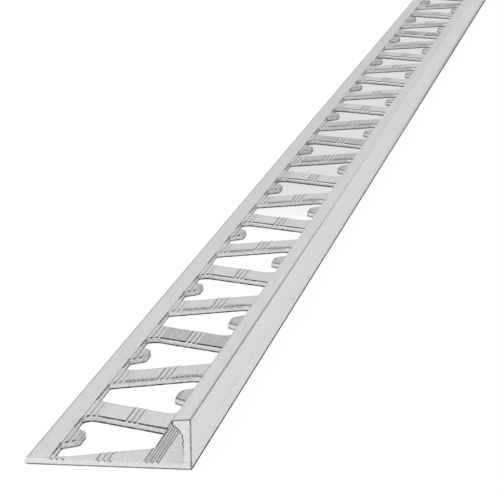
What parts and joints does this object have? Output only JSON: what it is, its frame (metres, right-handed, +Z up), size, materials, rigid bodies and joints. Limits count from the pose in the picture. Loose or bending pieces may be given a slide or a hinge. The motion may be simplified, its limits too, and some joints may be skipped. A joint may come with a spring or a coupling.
{
  "type": "tile edge trim",
  "caption": "Straight L-section aluminium tile edge trim with a slim lipped wall and a ribbed anchoring leg punched with alternating trapezium holes.",
  "frame": {"origin": "middle of the underside", "axes": "+Y along the length, +X from the leg's free edge towards the wall, +Z up"},
  "size_m": [0.026, 1, 0.008],
  "materials": {
    "aluminium": "satin mill finish"
  },
  "bodies": {
    "root": {"edge_trim": "aluminium"}
  },
  "joints": []
}
